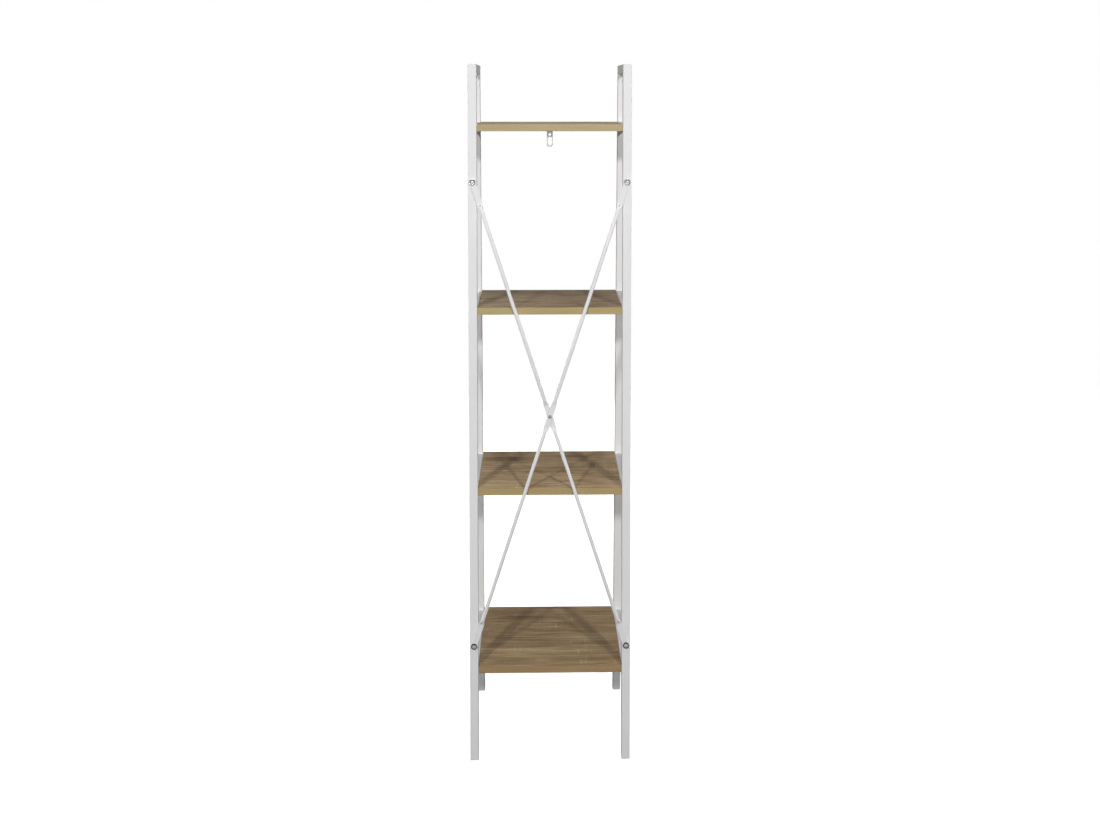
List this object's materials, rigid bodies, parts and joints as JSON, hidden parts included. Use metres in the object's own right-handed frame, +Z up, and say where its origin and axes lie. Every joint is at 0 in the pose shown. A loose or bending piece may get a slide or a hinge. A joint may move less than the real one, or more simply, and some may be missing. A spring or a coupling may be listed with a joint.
{
  "type": "etagere",
  "caption": "Tall narrow ladder shelf: square-tube side frames with leaning fronts, wood-look boards between them and a cross brace on the rear.",
  "frame": {"origin": "on the floor, under the centre of the bounding box of the whole", "axes": "+Z up; the open front with the leaning posts faces -Y, the braced rear faces +Y; +X is the right side for someone who faces the front"},
  "size_m": [0.3554, 0.3584, 1.52],
  "materials": {
    "frame_white": "white powder coat, satin",
    "brace_white": "white powder coat, satin",
    "board_oak": "light grey-brown oak look on melamine, grain along the width, paler banded edges",
    "plug_white": "white moulded plastic",
    "bolt_nickel": "nickel plated",
    "nut_zinc": "zinc plated",
    "screw_nickel": "nickel plated",
    "rivet_nickel": "nickel plated",
    "bracket_white": "white powder coat, satin"
  },
  "bodies": {
    "root": {"left_rear_post": "frame_white", "left_front_post": "frame_white", "left_top_rail": "frame_white", "left_shelf_rail_1": "frame_white", "left_shelf_rail_2": "frame_white", "left_shelf_rail_3": "frame_white", "left_shelf_rail_4": "frame_white", "right_rear_post": "frame_white", "right_front_post": "frame_white", "right_top_rail": "frame_white", "right_shelf_rail_1": "frame_white", "right_shelf_rail_2": "frame_white", "right_shelf_rail_3": "frame_white", "right_shelf_rail_4": "frame_white", "shelf_board_1": "board_oak", "shelf_board_2": "board_oak", "shelf_board_3": "board_oak", "shelf_board_4": "board_oak", "shelf_screw_left_1_rear": "screw_nickel", "shelf_screw_left_1_front": "screw_nickel", "shelf_screw_left_2_rear": "screw_nickel", "shelf_screw_left_2_front": "screw_nickel", "shelf_screw_left_3_rear": "screw_nickel", "shelf_screw_left_3_front": "screw_nickel", "shelf_screw_left_4_rear": "screw_nickel", "shelf_screw_left_4_front": "screw_nickel", "shelf_screw_right_1_rear": "screw_nickel", "shelf_screw_right_1_front": "screw_nickel", "shelf_screw_right_2_rear": "screw_nickel", "shelf_screw_right_2_front": "screw_nickel", "shelf_screw_right_3_rear": "screw_nickel", "shelf_screw_right_3_front": "screw_nickel", "shelf_screw_right_4_rear": "screw_nickel", "shelf_screw_right_4_front": "screw_nickel", "cross_brace_inner": "brace_white", "cross_brace_outer": "brace_white", "brace_rivet": "rivet_nickel", "brace_bolt_left_upper": "bolt_nickel", "weld_nut_left_upper": "nut_zinc", "brace_bolt_left_lower": "bolt_nickel", "weld_nut_left_lower": "nut_zinc", "brace_bolt_right_upper": "bolt_nickel", "weld_nut_right_upper": "nut_zinc", "brace_bolt_right_lower": "bolt_nickel", "weld_nut_right_lower": "nut_zinc", "foot_plug_left_rear": "plug_white", "foot_plug_left_front": "plug_white", "foot_plug_right_rear": "plug_white", "foot_plug_right_front": "plug_white", "wall_bracket": "bracket_white", "bracket_screw": "screw_nickel"}
  },
  "joints": []
}
